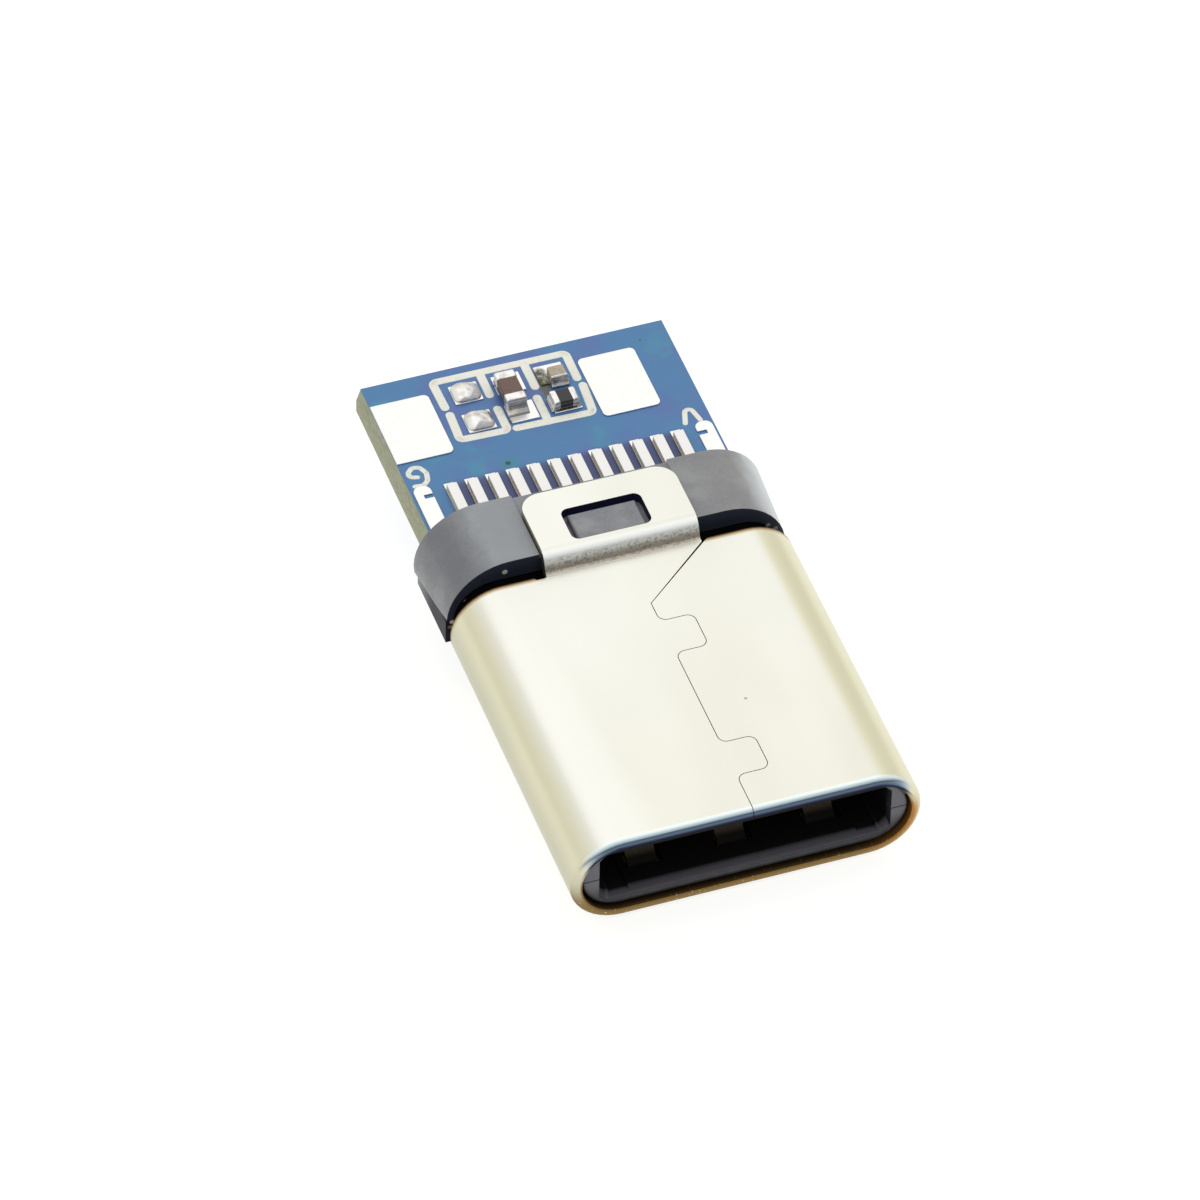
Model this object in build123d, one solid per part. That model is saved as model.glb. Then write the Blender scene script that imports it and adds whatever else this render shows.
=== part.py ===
"""USB-C cable plug with a solder-on paddle board, lying flat.

Millimetres. X runs across the plug, Y runs from the mouth to the board, Z is up.
The origin is the centre of the mouth, in the plane of the shell's front rim.
"""

from build123d import *

import os

# Plug shell: one folded and seamed stamping round the nose insulator
shell_wall = 0.25
shell_length = 8.35
lip_radius = 0.19
lip_inner_edge = 0.03

# Dovetail seam in the top of the shell, and the slit that frees the tab
seam_side = 0.10
seam_gap = 0.018
tongue_reach = 0.79
tongue_width = 1.04
tongue_first = 1.14
tongue_rear_margin = 0.60
tongue_corner = 0.20
tongue_count = 2
slit_run = 1.57
slit_rear_gap = 0.07
slit_mouth = 0.17

# Rear tabs of the shell, top and bottom, that step up over the collar
tab_width = 3.70
tab_step = 0.48
tab_slope_run = 0.18
tab_bend_radius = 0.22
tab_reach = 2.10
tab_corner = 0.50
tab_relief_width = 0.28
tab_relief_depth = 0.07
tab_relief_corner = 0.05
window_width = 1.92
window_length = 1.01
window_corner = 0.19
window_side_shift = -0.10
window_rear_margin = 0.67

# Nose insulator: two moulded halves that meet at mid-height
nose_gap = 0.02
nose_recess = 0.16
nose_edge = 0.07
joint_gap = 0.02
cavity_side_wall = 0.455
cavity_top_wall = 0.32
cavity_height = 1.22
cavity_corner = 0.16
corner_relief_depth = 0.07
corner_relief_width = 0.46
corner_relief_inset = 0.25
mouth_lead_depth = 0.22
mouth_lead_height = 0.12
mouth_lead_side = 0.03

# Contacts: 12 above and 12 below, stamped strips
contact_count = 12
contact_pitch = 0.50
contact_row_margin = 0.65
contact_width = 0.25
contact_thickness = 0.15
contact_roof_depth = 0.27
contact_touch_reach = 0.29
contact_tip_gap = 0.07
contact_tip_run = 0.26
contact_tip_lift = 0.14
contact_beam_rest = 1.40
contact_bend_radius = 0.20
contact_side_gap = 0.03
slot_roof_gap = 0.05
slot_front_gap = 0.12

# Grounding springs, one above and one below, with three fingers each
spring_thickness = 0.08
spring_setback = 0.44
spring_band_length = 0.34
spring_band_margin = 0.125
finger_count = 3
finger_side_margin = 0.36
finger_width = 0.68
finger_reach = 0.15
finger_run = 0.52
finger_tip_run = 0.16
finger_tip_lift = 0.10
finger_bend_radius = 0.06
window_gap = 0.09

# Latch plate between the two rows, with an arm and a hook on each side
latch_thickness = 0.20
latch_gap = 0.02
latch_arm_width = 0.26
latch_arm_inset = 0.07
latch_hook_reach = 0.30
latch_hook_length = 0.40
latch_hook_chamfer = 0.15
latch_hook_setback = 0.10
latch_tongue_gap = 0.335
latch_tongue_reach = 0.20

# Contact carriers behind the cavity
carrier_gap = 0.02
carrier_length = 1.56

# Collar: the moulded rear cover that the tabs snap over
neck_insert = 0.35
neck_reach = 0.40
collar_length = 2.00
collar_rise = 0.30
collar_front_inset = 0.045
collar_rear_flare = 0.075
seat_gap = 0.02
side_relief_depth = 0.10
side_relief_front_top = 0.08
side_relief_rear_top = -0.26
side_relief_bottom = -0.62
boss_width = 1.62
boss_length = 0.86
boss_height = 0.12
boss_edge = 0.04
boss_front_gap = 0.02
boss_root_depth = 0.75
tail_window_gap = 0.06

# Paddle board
board_side_inset = 0.435
board_length = 7.22
board_thickness = 1.00
board_edge_bulge = 0.11
board_edge_web = 0.34
board_inset = 0.16
board_gap = 0.02

# Copper pads on the board
pad_thickness = 0.04
contact_pad_width = 0.25
contact_pad_shift = -0.02
contact_pad_rear_gap = 0.94
contact_pad_inset = 0.16
wire_pad_width = 1.40
wire_pad_length = 2.00
wire_pad_rear_margin = 0.68
wire_pad_right_inset = 0.94
wire_pad_corner = 0.14
side_pad_width = 0.42
side_pad_margin = 0.06
side_pad_extra = 0.10
side_pad_head_radius = 0.19
side_pad_notch = 0.22
side_pad_notch_width = 0.12
side_pad_notch_end = 0.30

# Contact tails soldered on the pads
tail_end_gap = 0.16
tail_drop_run = 0.30

# Small parts on top of the board, one footprint to a column
column_left_gap = 0.51
column_right_gap = 0.37
footprint_from_rear = 1.42
site_pad_width = 0.68
site_pad_length = 0.62
site_pad_spacing = 0.98
capacitor_width = 0.50
capacitor_length = 1.00
capacitor_height = 0.38
capacitor_side_shift = -0.10
capacitor_rear_shift = 0.05
diode_width = 0.42
diode_length = 0.42
diode_height = 0.24
diode_side_shift = 0.09
diode_front_shift = 0.19
resistor_width = 0.62
resistor_length = 0.45
resistor_height = 0.26
resistor_side_shift = -0.03
resistor_front_shift = 0.04
chip_edge = 0.04
solder_width = 0.66
solder_length = 0.60
solder_height = 0.18
solder_corner = 0.12
solder_slope_run = 0.11

# Derived sizes
contact_row = (contact_count - 1) * contact_pitch
cavity_width = contact_row + 2 * contact_row_margin
nose_width = cavity_width + 2 * cavity_side_wall
nose_height = cavity_height + 2 * cavity_top_wall
inner_width = nose_width + 2 * nose_gap
inner_height = nose_height + 2 * nose_gap
shell_width = inner_width + 2 * shell_wall
shell_height = inner_height + 2 * shell_wall
slit_start = shell_length - slit_run
tongue_last = slit_start - tongue_rear_margin - tongue_width
tongue_pitch = (tongue_last - tongue_first) / (tongue_count - 1)
neck_front = shell_length - neck_insert
carrier_rear = neck_front - carrier_gap
carrier_front = carrier_rear - carrier_length
nose_rear = carrier_front - carrier_gap
nose_length = nose_rear - nose_recess
collar_front = shell_length + neck_reach
collar_rear = collar_front + collar_length
collar_height = shell_height + 2 * collar_rise
collar_front_width = shell_width - 2 * collar_front_inset
collar_rear_width = shell_width + 2 * collar_rear_flare
tab_face = shell_height / 2 + tab_step
tab_side = tab_width / 2
tab_rear = shell_length + tab_reach
window_front = tab_rear - window_rear_margin - window_length
board_front = collar_front + board_inset
board_rear = board_front + board_length
board_top_width = shell_width - 2 * board_side_inset
board_face = board_thickness / 2
pad_face = board_face + pad_thickness
wire_pad_rear = board_rear - wire_pad_rear_margin
wire_pad_front = wire_pad_rear - wire_pad_length
wire_pad_inner_left = -board_top_width / 2 + wire_pad_width
wire_pad_inner_right = board_top_width / 2 - wire_pad_right_inset - wire_pad_width
contact_pad_rear = wire_pad_front - contact_pad_rear_gap
tail_level = pad_face + contact_thickness / 2
tail_rear = contact_pad_rear - tail_end_gap
spring_face = nose_height / 2
spring_level = spring_face - spring_thickness / 2
spring_front = nose_recess + spring_setback
spring_band_rear = spring_front + spring_band_length
spring_band_width = nose_width - nose_height - 2 * spring_band_margin
finger_rear = spring_band_rear + finger_run + finger_tip_run
finger_level = cavity_height / 2 - finger_reach
finger_pitch = (spring_band_width - finger_width - 2 * finger_side_margin) / (finger_count - 1)
contact_level = nose_height / 2 - contact_roof_depth
contact_touch_level = cavity_height / 2 - contact_touch_reach
contact_front = finger_rear + contact_tip_gap
contact_touch = contact_front + contact_tip_run
latch_arm_inner = cavity_width / 2 + latch_gap
latch_arm_outer = latch_arm_inner + latch_arm_width
latch_hook_tip = latch_arm_inner - latch_hook_reach
latch_hook_front = contact_touch + latch_hook_setback
tail_window_side = contact_row / 2 + contact_width / 2 + tail_window_gap
latch_tongue_side = tail_window_side - latch_tongue_gap
footprint_y = board_rear - footprint_from_rear
rear_site = footprint_y + site_pad_spacing / 2
front_site = footprint_y - site_pad_spacing / 2
left_column_x = wire_pad_inner_left + column_left_gap + site_pad_width / 2
right_column_x = wire_pad_inner_right - column_right_gap - site_pad_width / 2
middle_column_x = (left_column_x + right_column_x) / 2


def along(sketch, start, length):
    """Extrudes a section drawn in X and Z rearward from y = start."""
    return extrude(Plane.XZ.offset(-start) * sketch, amount=length, dir=(0, 1, 0))


def upward(sketch, start, height):
    """Extrudes a plan outline upward from z = start."""
    return extrude(Plane.XY.offset(start) * sketch, amount=height, dir=(0, 0, 1))


def across(sketch, middle, width):
    """Extrudes a side profile drawn in Y and Z, centred on x = middle."""
    return extrude(Plane.YZ.offset(middle - width / 2) * sketch, amount=width, dir=(1, 0, 0))


def plan_box(x_low, x_high, y_low, y_high):
    """A plan rectangle from its corners."""
    centre = Pos((x_low + x_high) / 2, (y_low + y_high) / 2)
    return centre * Rectangle(x_high - x_low, y_high - y_low)


def below(shape):
    """The same shape on the underside of the plug."""
    return mirror(shape, about=Plane.XY)


def above(start, length, low):
    """A block that keeps what lies above z = low between two stations."""
    block = Pos(0, low + shell_height) * Rectangle(2 * shell_width, 2 * shell_height)
    return along(block, start, length)


def through_top(plan):
    """A cutter with the given plan outline that passes the shell's top wall."""
    return upward(plan, shell_height / 2 - 2 * shell_wall, 4 * shell_wall)


def slot_positions(count, pitch):
    """Places of a row that is centred on the plug's axis."""
    return [(i - (count - 1) / 2) * pitch for i in range(count)]


# Shell

def seam_cut():
    """The dovetail seam, the slit behind it and the relief beside the tab."""
    points = [(seam_side, -shell_wall)]
    for i in range(tongue_count):
        start = tongue_first + i * tongue_pitch
        points.append((seam_side, start))
        points.append((seam_side + tongue_reach, start))
        points.append((seam_side + tongue_reach, start + tongue_width))
        points.append((seam_side, start + tongue_width))
    points.append((seam_side, slit_start))
    seam = trace(FilletPolyline(*points, radius=tongue_corner), seam_gap)
    past = shell_length + shell_wall
    slit = Polygon(
        (seam_side - seam_gap / 2, slit_start - seam_gap),
        (seam_side + seam_gap / 2, slit_start - seam_gap),
        (seam_side + seam_gap, slit_start),
        (tab_side + slit_rear_gap, shell_length - tab_relief_depth),
        (tab_side + slit_mouth, shell_length),
        (tab_side + slit_mouth, past),
        (tab_side, past),
        (tab_side, shell_length - tab_relief_depth),
        (seam_side - seam_gap / 2, slit_start),
        align=None,
    )
    return through_top(seam + slit)


def make_tab():
    """The upper rear tab: a strap with an S-bend, round corners and a window."""
    level = (shell_height - shell_wall) / 2
    raised = tab_face - shell_wall / 2
    line = FilletPolyline(
        (shell_length - 2 * shell_wall, level),
        (shell_length + shell_wall / 2, level),
        (shell_length + shell_wall / 2 + tab_slope_run, raised),
        (tab_rear, raised),
        radius=tab_bend_radius,
    )
    strap = across(trace(line, shell_wall), 0, tab_width)
    plan = plan_box(-tab_side, tab_side, 0, tab_rear)
    rear_corners = plan.vertices().sort_by(Axis.Y)[-2:]
    plan = fillet(rear_corners, tab_corner)
    window = RectangleRounded(window_width, window_length, window_corner)
    plan = plan - Pos(window_side_shift, window_front + window_length / 2) * window
    return strap & upward(plan, 0, 2 * shell_height)


def make_shell():
    blank = along(SlotOverall(shell_width, shell_height), 0, shell_length)
    blank = fillet(blank.faces().sort_by(Axis.Y)[0].edges(), lip_radius)
    tube = blank - along(SlotOverall(inner_width, inner_height), 0, shell_length)
    mouth = tube.faces().sort_by(Axis.Y)[0]
    tube = chamfer(mouth.inner_wires()[0].edges(), lip_inner_edge)
    tab = make_tab()
    shell = tube + tab + below(tab)
    past = shell_length + shell_wall
    relief_front = shell_length - tab_relief_depth
    relief_plan = plan_box(-tab_side - tab_relief_width, -tab_side, relief_front, past)
    relief_plan = fillet(relief_plan.vertices().group_by(Axis.Y)[0], tab_relief_corner)
    relief = through_top(relief_plan)
    other_relief = mirror(relief, about=Plane.YZ)
    return shell - seam_cut() - relief - below(relief) - below(other_relief)


# Nose insulator

def cavity_sketch():
    """The mouth opening: a flat slot with cut corners and corner reliefs."""
    body = Rectangle(cavity_width, cavity_height)
    relief_x = cavity_width / 2 - corner_relief_inset - corner_relief_width / 2
    relief = Rectangle(corner_relief_width, cavity_height + 2 * corner_relief_depth)
    body = chamfer(body.vertices(), cavity_corner)
    return body + Pos(relief_x, 0) * relief + Pos(-relief_x, 0) * relief


def mouth_lead():
    """The opening's lead-in, which slopes above and below."""
    wide = Rectangle(cavity_width + 2 * mouth_lead_side, cavity_height + 2 * mouth_lead_height)
    wide = chamfer(wide.vertices(), cavity_corner)
    narrow = Rectangle(cavity_width, cavity_height)
    narrow = chamfer(narrow.vertices(), cavity_corner)
    front = Plane.XZ.offset(-nose_recess)
    rear = Plane.XZ.offset(-nose_recess - mouth_lead_depth)
    return loft([front * wide, rear * narrow])


def contact_slot(x):
    """The groove in the cavity roof that a contact beam flexes in."""
    front = contact_front - slot_front_gap
    roof = contact_level + contact_thickness / 2 + slot_roof_gap
    width = contact_width + 2 * contact_side_gap
    plan = plan_box(x - width / 2, x + width / 2, front, nose_rear)
    return upward(plan, latch_thickness, roof - latch_thickness)


def spring_pocket():
    """Recess for the grounding spring's band, and a window at each finger."""
    depth = spring_thickness + nose_gap
    band = plan_box(
        -spring_band_width / 2 - nose_gap,
        spring_band_width / 2 + nose_gap,
        spring_front - nose_gap,
        spring_band_rear + nose_gap,
    )
    pocket = upward(band, spring_face - depth, shell_height)
    for x in slot_positions(finger_count, finger_pitch):
        opening = plan_box(
            x - finger_width / 2 - window_gap,
            x + finger_width / 2 + window_gap,
            spring_band_rear - window_gap,
            finger_rear + window_gap,
        )
        pocket = pocket + upward(opening, 0, shell_height)
    return pocket


def latch_channel(side):
    """The gap between the nose halves that a latch arm lies and flexes in."""
    front = latch_hook_front - window_gap
    inner = cavity_width / 2 - latch_arm_inset
    outer = inner_width / 2
    channel = plan_box(inner, outer, front, nose_rear)
    if side < 0:
        channel = mirror(channel, about=Plane.YZ)
    height = latch_thickness + 2 * latch_gap
    return upward(channel, -height / 2, height)


def make_nose_upper():
    body = along(SlotOverall(nose_width, nose_height), nose_recess, nose_length)
    body = chamfer(body.faces().sort_by(Axis.Y)[0].edges(), nose_edge)
    body = body - along(cavity_sketch(), nose_recess - nose_edge, nose_length + 2 * nose_edge)
    body = body - mouth_lead()
    for x in slot_positions(contact_count, contact_pitch):
        body = body - contact_slot(x)
    body = body - spring_pocket()
    body = body - latch_channel(1) - latch_channel(-1)
    return body & above(0, nose_rear + nose_edge, joint_gap / 2)


# Contacts, springs and latch plate

def contact_line(tail):
    """Side profile of an upper contact from its tip to its soldered tail."""
    level = contact_touch_level
    step_start = neck_front + nose_gap
    return FilletPolyline(
        (contact_front, level + contact_tip_lift),
        (contact_touch, level),
        (nose_rear - contact_beam_rest, contact_level),
        (step_start, contact_level),
        (step_start + tail_drop_run, tail_level),
        (tail, tail_level),
        radius=contact_bend_radius,
    )


def make_contact(x):
    profile = trace(contact_line(tail_rear), contact_thickness)
    return across(profile, x, contact_width)


def make_spring_upper():
    """A flat band with three fingers that bend down into the cavity."""
    line = FilletPolyline(
        (spring_front, spring_level),
        (spring_band_rear, spring_level),
        (spring_band_rear + finger_run, finger_level),
        (finger_rear, finger_level + finger_tip_lift),
        radius=finger_bend_radius,
    )
    profile = trace(line, spring_thickness)
    band_side = spring_band_width / 2
    band_plan = plan_box(-band_side, band_side, spring_front, spring_band_rear)
    spring = upward(band_plan, spring_face - spring_thickness, spring_thickness)
    for x in slot_positions(finger_count, finger_pitch):
        spring = spring + across(profile, x, finger_width)
    return spring


def make_latch_plate():
    """Mid-plane stamping: rear plate, two side arms and their front hooks."""
    front = latch_hook_front
    plate = plan_box(-latch_arm_outer, latch_arm_outer, carrier_front, carrier_rear)
    plate = plate + plan_box(
        -latch_tongue_side, latch_tongue_side, carrier_rear, neck_front + latch_tongue_reach
    )
    arm = plan_box(latch_arm_inner, latch_arm_outer, front, carrier_front)
    hook = plan_box(latch_hook_tip, latch_arm_inner, front, front + latch_hook_length)
    front_edge = hook.vertices().group_by(Axis.Y)[0]
    hook = chamfer(front_edge.sort_by(Axis.X)[0], latch_hook_chamfer)
    arm = arm + hook
    plan = plate + arm + mirror(arm, about=Plane.YZ)
    return upward(plan, -latch_thickness / 2, latch_thickness)


# Carriers and collar

def make_carrier_upper():
    """Block behind the cavity with one open groove for each contact."""
    body = along(SlotOverall(nose_width, nose_height), carrier_front, carrier_length)
    floor = contact_level - contact_thickness / 2
    width = contact_width + 2 * contact_side_gap
    front = carrier_front - nose_gap
    rear = carrier_rear + nose_gap
    for x in slot_positions(contact_count, contact_pitch):
        groove = plan_box(x - width / 2, x + width / 2, front, rear)
        body = body - upward(groove, floor, shell_height)
    return body & above(front, rear - front, latch_thickness / 2)


def tail_window():
    """Passage through the collar for both rows of tails and the plate."""
    half_height = contact_level + contact_thickness / 2 + tail_window_gap
    opening = Rectangle(2 * tail_window_side, 2 * half_height)
    return along(opening, neck_front - nose_gap, collar_rear - neck_front + 2 * nose_gap)


def board_slot():
    """Slot in the collar that the board is pushed into."""
    width = board_top_width + 2 * board_edge_bulge + 2 * board_gap
    height = board_thickness + 2 * pad_thickness + 2 * board_gap
    return along(Rectangle(width, height), board_front - board_gap, collar_rear)


def side_flat(side, inward):
    """A block on the flank's flat, slanted on top, outward or inward of its face."""
    face = collar_rear_width / 2 - side_relief_depth
    middle = face - shell_wall if inward else face + shell_wall
    profile = Polygon(
        (collar_front - shell_wall, side_relief_front_top),
        (collar_rear + shell_wall, side_relief_rear_top),
        (collar_rear + shell_wall, side_relief_bottom),
        (collar_front - shell_wall, side_relief_bottom),
        align=None,
    )
    return across(profile, side * middle, 2 * shell_wall)


def make_boss():
    """Snap boss that stands in the tab's window."""
    boss_y = window_front + boss_front_gap + boss_length / 2
    plan = Pos(window_side_shift, boss_y) * Rectangle(boss_width, boss_length)
    top = collar_height / 2 + boss_height
    root = collar_height / 2 - boss_root_depth
    block = upward(plan, root, top - root)
    return chamfer(block.faces().sort_by(Axis.Z)[-1].edges(), boss_edge)


def make_collar():
    front = Plane.XZ.offset(-collar_front) * SlotOverall(collar_front_width, collar_height)
    rear = Plane.XZ.offset(-collar_rear) * SlotOverall(collar_rear_width, collar_height)
    body = loft([front, rear])
    span = along(Rectangle(2 * shell_width, shell_height), collar_front, collar_length)
    for side in (-1, 1):
        body = body + (side_flat(side, True) & span) - side_flat(side, False)
    seat_side = tab_side + seat_gap
    past_front = collar_front - shell_wall
    past_rear = collar_rear + shell_wall
    seat_plan = plan_box(-seat_side, seat_side, past_front, past_rear)
    seat = upward(seat_plan, tab_face - shell_wall - seat_gap, shell_height)
    body = body - seat - below(seat)
    neck_length = collar_front - neck_front + shell_wall
    body = body + along(SlotOverall(nose_width, nose_height), neck_front, neck_length)
    boss = make_boss()
    body = body + boss + below(boss)
    return body - tail_window() - board_slot()


# Board and what is on it

def make_board():
    """Bare board with snapped V-score edges along both sides."""
    half = board_top_width / 2
    web = board_edge_web / 2
    section = Polygon(
        (half, board_face),
        (half + board_edge_bulge, web),
        (half + board_edge_bulge, -web),
        (half, -board_face),
        (-half, -board_face),
        (-half - board_edge_bulge, -web),
        (-half - board_edge_bulge, web),
        (-half, board_face),
        align=None,
    )
    return along(section, board_front, board_length)


def pad(plan):
    """Copper of the pad thickness on the board's top face."""
    return upward(plan, board_face, pad_thickness)


def make_wire_pad_left():
    """Wire pad that runs to the board's left edge."""
    plan = plan_box(-board_top_width / 2, wire_pad_inner_left, wire_pad_front, wire_pad_rear)
    return pad(fillet(plan.vertices().sort_by(Axis.X)[-2:], wire_pad_corner))


def make_wire_pad_right():
    right = wire_pad_inner_right + wire_pad_width
    plan = plan_box(wire_pad_inner_right, right, wire_pad_front, wire_pad_rear)
    return pad(fillet(plan.vertices(), wire_pad_corner))


def side_pad(side):
    """Outer pad of the row, with a round head and a notch below it."""
    outer = board_top_width / 2 - side_pad_margin
    inner = outer - side_pad_width
    front = board_front + contact_pad_inset
    rear = contact_pad_rear + side_pad_extra
    plan = plan_box(inner, outer, front, rear)
    plan = fillet(plan.vertices().sort_by(Axis.Y)[-2:], side_pad_head_radius)
    notch_y = rear - side_pad_notch_end - side_pad_notch_width / 2
    plan = plan - Pos(inner, notch_y) * Rectangle(2 * side_pad_notch, side_pad_notch_width)
    if side < 0:
        plan = mirror(plan, about=Plane.YZ)
    return pad(plan)


def make_contact_pads():
    """The row of contact pads and the two outer pads, top face."""
    pads = []
    front = board_front + contact_pad_inset
    for x in slot_positions(contact_count, contact_pitch):
        low = x + contact_pad_shift - contact_pad_width / 2
        pads.append(pad(plan_box(low, low + contact_pad_width, front, contact_pad_rear)))
    pads.append(side_pad(-1))
    pads.append(side_pad(1))
    return Compound(children=pads)


def make_site_pads():
    """Two solder pads to each of the three footprints."""
    pads = []
    for x in (left_column_x, middle_column_x, right_column_x):
        for y in (rear_site, front_site):
            plan = Pos(x, y) * Rectangle(site_pad_width, site_pad_length)
            pads.append(pad(plan))
    return Compound(children=pads)


def solder_heap(x, y):
    """A heap of solder on an empty site pad."""
    foot = Pos(x, y, pad_face) * RectangleRounded(solder_width, solder_length, solder_corner)
    crown_width = solder_width - 2 * solder_slope_run
    crown_length = solder_length - 2 * solder_slope_run
    crown_corner = solder_corner - solder_slope_run / 2
    crown = Pos(x, y, pad_face + solder_height) * RectangleRounded(crown_width, crown_length, crown_corner)
    return loft([foot, crown])


def chip(x, y, width, length, height):
    """A small surface-mount part that stands on the pads."""
    block = upward(Pos(x, y) * Rectangle(width, length), pad_face, height)
    return chamfer(block.faces().sort_by(Axis.Z)[-1].edges(), chip_edge)


parts = {
    "shell": make_shell(),
    "nose_upper": make_nose_upper(),
    "spring_upper": make_spring_upper(),
    "latch_plate": make_latch_plate(),
    "carrier_upper": make_carrier_upper(),
    "collar": make_collar(),
    "board": make_board(),
    "wire_pad_left": make_wire_pad_left(),
    "wire_pad_right": make_wire_pad_right(),
    "contact_pads_upper": make_contact_pads(),
    "site_pads": make_site_pads(),
}

for name in ("nose", "spring", "carrier", "contact_pads"):
    parts[name + "_lower"] = below(parts[name + "_upper"])

for number, x in enumerate(slot_positions(contact_count, contact_pitch), start=1):
    contact = make_contact(x)
    parts[f"contact_a{number}"] = contact
    parts[f"contact_b{number}"] = below(contact)

parts["solder_rear_left"] = solder_heap(left_column_x, rear_site)
parts["solder_front_left"] = solder_heap(left_column_x, front_site)
parts["capacitor"] = chip(
    middle_column_x + capacitor_side_shift,
    footprint_y + capacitor_rear_shift,
    capacitor_width,
    capacitor_length,
    capacitor_height,
)
parts["diode"] = chip(
    right_column_x + diode_side_shift,
    rear_site - diode_front_shift,
    diode_width,
    diode_length,
    diode_height,
)
parts["resistor"] = chip(
    right_column_x + resistor_side_shift,
    front_site - resistor_front_shift,
    resistor_width,
    resistor_length,
    resistor_height,
)

os.makedirs("parts", exist_ok=True)
for name, shape in parts.items():
    export_step(shape, f"parts/{name}.step")
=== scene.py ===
import math
from types import SimpleNamespace

import bmesh
import bpy
from mathutils import Matrix, Vector


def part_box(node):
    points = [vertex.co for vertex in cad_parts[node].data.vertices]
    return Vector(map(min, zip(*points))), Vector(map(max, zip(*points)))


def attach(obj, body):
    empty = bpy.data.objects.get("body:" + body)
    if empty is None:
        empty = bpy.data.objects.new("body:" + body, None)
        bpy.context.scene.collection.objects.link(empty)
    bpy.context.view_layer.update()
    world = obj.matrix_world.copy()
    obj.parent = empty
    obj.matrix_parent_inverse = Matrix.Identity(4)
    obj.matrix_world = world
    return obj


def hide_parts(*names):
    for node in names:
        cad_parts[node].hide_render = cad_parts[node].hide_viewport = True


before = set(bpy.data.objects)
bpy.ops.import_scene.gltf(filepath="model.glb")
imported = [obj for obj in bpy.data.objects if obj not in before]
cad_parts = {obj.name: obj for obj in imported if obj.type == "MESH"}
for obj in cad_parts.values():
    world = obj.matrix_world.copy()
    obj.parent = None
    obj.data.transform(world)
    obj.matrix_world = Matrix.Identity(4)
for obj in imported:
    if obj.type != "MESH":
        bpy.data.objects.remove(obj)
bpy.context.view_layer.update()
scene = bpy.context.scene
mm = 0.001


# Small helpers

def hexToLinear(text):
    channels = [int(text[i:i + 2], 16) / 255 for i in (1, 3, 5)]
    linear = [c / 12.92 if c <= 0.04045 else ((c + 0.055) / 1.055) ** 2.4 for c in channels]
    return (*linear, 1.0)


def addNode(tree, kind, links=None, **settings):
    # each link gives a socket another node's output, an sRGB hex colour or a plain value
    node = tree.nodes.new(kind)
    for name, value in settings.items():
        setattr(node, name, value)
    for socket, value in (links or {}).items():
        if isinstance(value, bpy.types.NodeSocket):
            tree.links.new(value, node.inputs[socket])
        elif isinstance(value, str):
            node.inputs[socket].default_value = hexToLinear(value)
        else:
            node.inputs[socket].default_value = value
    return node


def boxMm(nodeName):
    low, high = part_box(nodeName)
    return low / mm, high / mm


# Painting with masks. A mask is a socket that runs from 0 to 1 over the surface, and all
# places and widths are in millimetres

def startMaterial(name):
    # also gives the place on the object
    material = bpy.data.materials.new(name)
    material.use_nodes = True
    tree = material.node_tree
    tree.nodes.clear()
    coords = addNode(tree, "ShaderNodeTexCoord")
    place = addNode(tree, "ShaderNodeVectorMath", {
        0: coords.outputs["Object"], "Scale": 1 / mm,
    }, operation="SCALE")
    return material, place.outputs[0]


def endMaterial(material, colour, roughness, height, depthMm, metallic=0.0, specular=0.5,
                strength=1.0):
    # the coat itself, with a height pattern pressed into it
    tree = material.node_tree
    relief = addNode(tree, "ShaderNodeBump", {
        "Height": height, "Distance": depthMm * mm, "Strength": strength,
    })
    coat = addNode(tree, "ShaderNodeBsdfPrincipled", {
        "Base Color": colour, "Roughness": roughness, "Metallic": metallic,
        "Specular IOR Level": specular, "Normal": relief.outputs[0],
    })
    addNode(tree, "ShaderNodeOutputMaterial", {"Surface": coat.outputs[0]})
    return material


def fade(value, start, full):
    # a mask that grows smoothly from start to full, whichever of them is larger
    return addNode(value.id_data, "ShaderNodeMapRange", {
        "Value": value, "From Min": min(start, full), "From Max": max(start, full),
        "To Min": float(start > full), "To Max": float(start <= full),
    }, interpolation_type="SMOOTHSTEP").outputs["Result"]


def overlap(first, *others):
    # where all masks meet: their product, which a plain number thins out
    for other in others:
        first = addNode(first.id_data, "ShaderNodeMath", {
            0: first, 1: other,
        }, operation="MULTIPLY").outputs[0]
    return first


def either(first, *others):
    # where any mask lies: the strongest of them
    for other in others:
        first = addNode(first.id_data, "ShaderNodeMath", {
            0: first, 1: other,
        }, operation="MAXIMUM").outputs[0]
    return first


def paint(colour, tone, *masks):
    # a tone laid over a colour where all its masks meet
    amount = overlap(*masks)
    return addNode(amount.id_data, "ShaderNodeMix", {
        0: amount, 6: colour, 7: tone,
    }, data_type="RGBA").outputs[2]


def grain(place, sizeMm, detail=2.0, stretch=(1, 1, 1)):
    # a cloudy pattern with marks about sizeMm across
    squeezed = addNode(place.id_data, "ShaderNodeMapping", {"Vector": place, "Scale": stretch})
    return addNode(place.id_data, "ShaderNodeTexNoise", {
        "Vector": squeezed.outputs[0], "Scale": 1 / sizeMm, "Detail": detail,
    }).outputs[0]


def spot(place, centre, radius, soft):
    away = addNode(place.id_data, "ShaderNodeVectorMath", {
        0: place, 1: centre,
    }, operation="DISTANCE")
    return fade(away.outputs["Value"], radius + soft, radius)


def measure(place):
    # the place along each axis, and how far it lies from the middle plane
    x, y, z = addNode(place.id_data, "ShaderNodeSeparateXYZ", {0: place}).outputs
    side = addNode(place.id_data, "ShaderNodeMath", {0: x}, operation="ABSOLUTE").outputs[0]
    return SimpleNamespace(x=x, y=y, z=z, side=side)


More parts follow.
